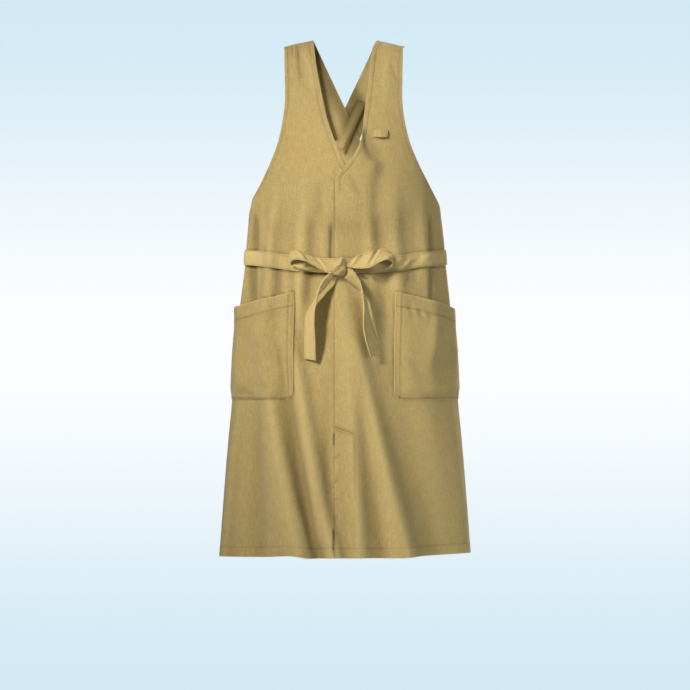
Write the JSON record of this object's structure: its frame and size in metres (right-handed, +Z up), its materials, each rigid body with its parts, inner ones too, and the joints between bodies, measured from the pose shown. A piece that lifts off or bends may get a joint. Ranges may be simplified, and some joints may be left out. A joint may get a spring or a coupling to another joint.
{
  "type": "cross back apron",
  "caption": "Sleeveless full-length cloth apron in its worn form, with a lapped V neck front, straps crossed at the back, patch pockets and a waist tie in a bow.",
  "frame": {"origin": "on the shoulder line, midway between the shoulders, where the straps hang on the wearer", "axes": "+Z up, -Y towards the front, +X to the right as seen from the front"},
  "size_m": [0.4799, 0.2947, 0.9803],
  "materials": {
    "body_cloth": "matt twill",
    "strap_cloth": "matt twill, folded double",
    "tie_cloth": "matt twill, folded double"
  },
  "bodies": {
    "root": {"body_left": "body_cloth", "body_right": "body_cloth", "strap_left": "strap_cloth", "strap_right": "strap_cloth", "strap_keeper": "strap_cloth", "pen_loop": "body_cloth", "pocket_left": "body_cloth", "pocket_right": "body_cloth", "waist_belt": "tie_cloth", "bow_knot": "tie_cloth", "bow_loop_left": "tie_cloth", "bow_loop_right": "tie_cloth", "tie_tail_left": "tie_cloth", "tie_tail_right": "tie_cloth"}
  },
  "joints": []
}
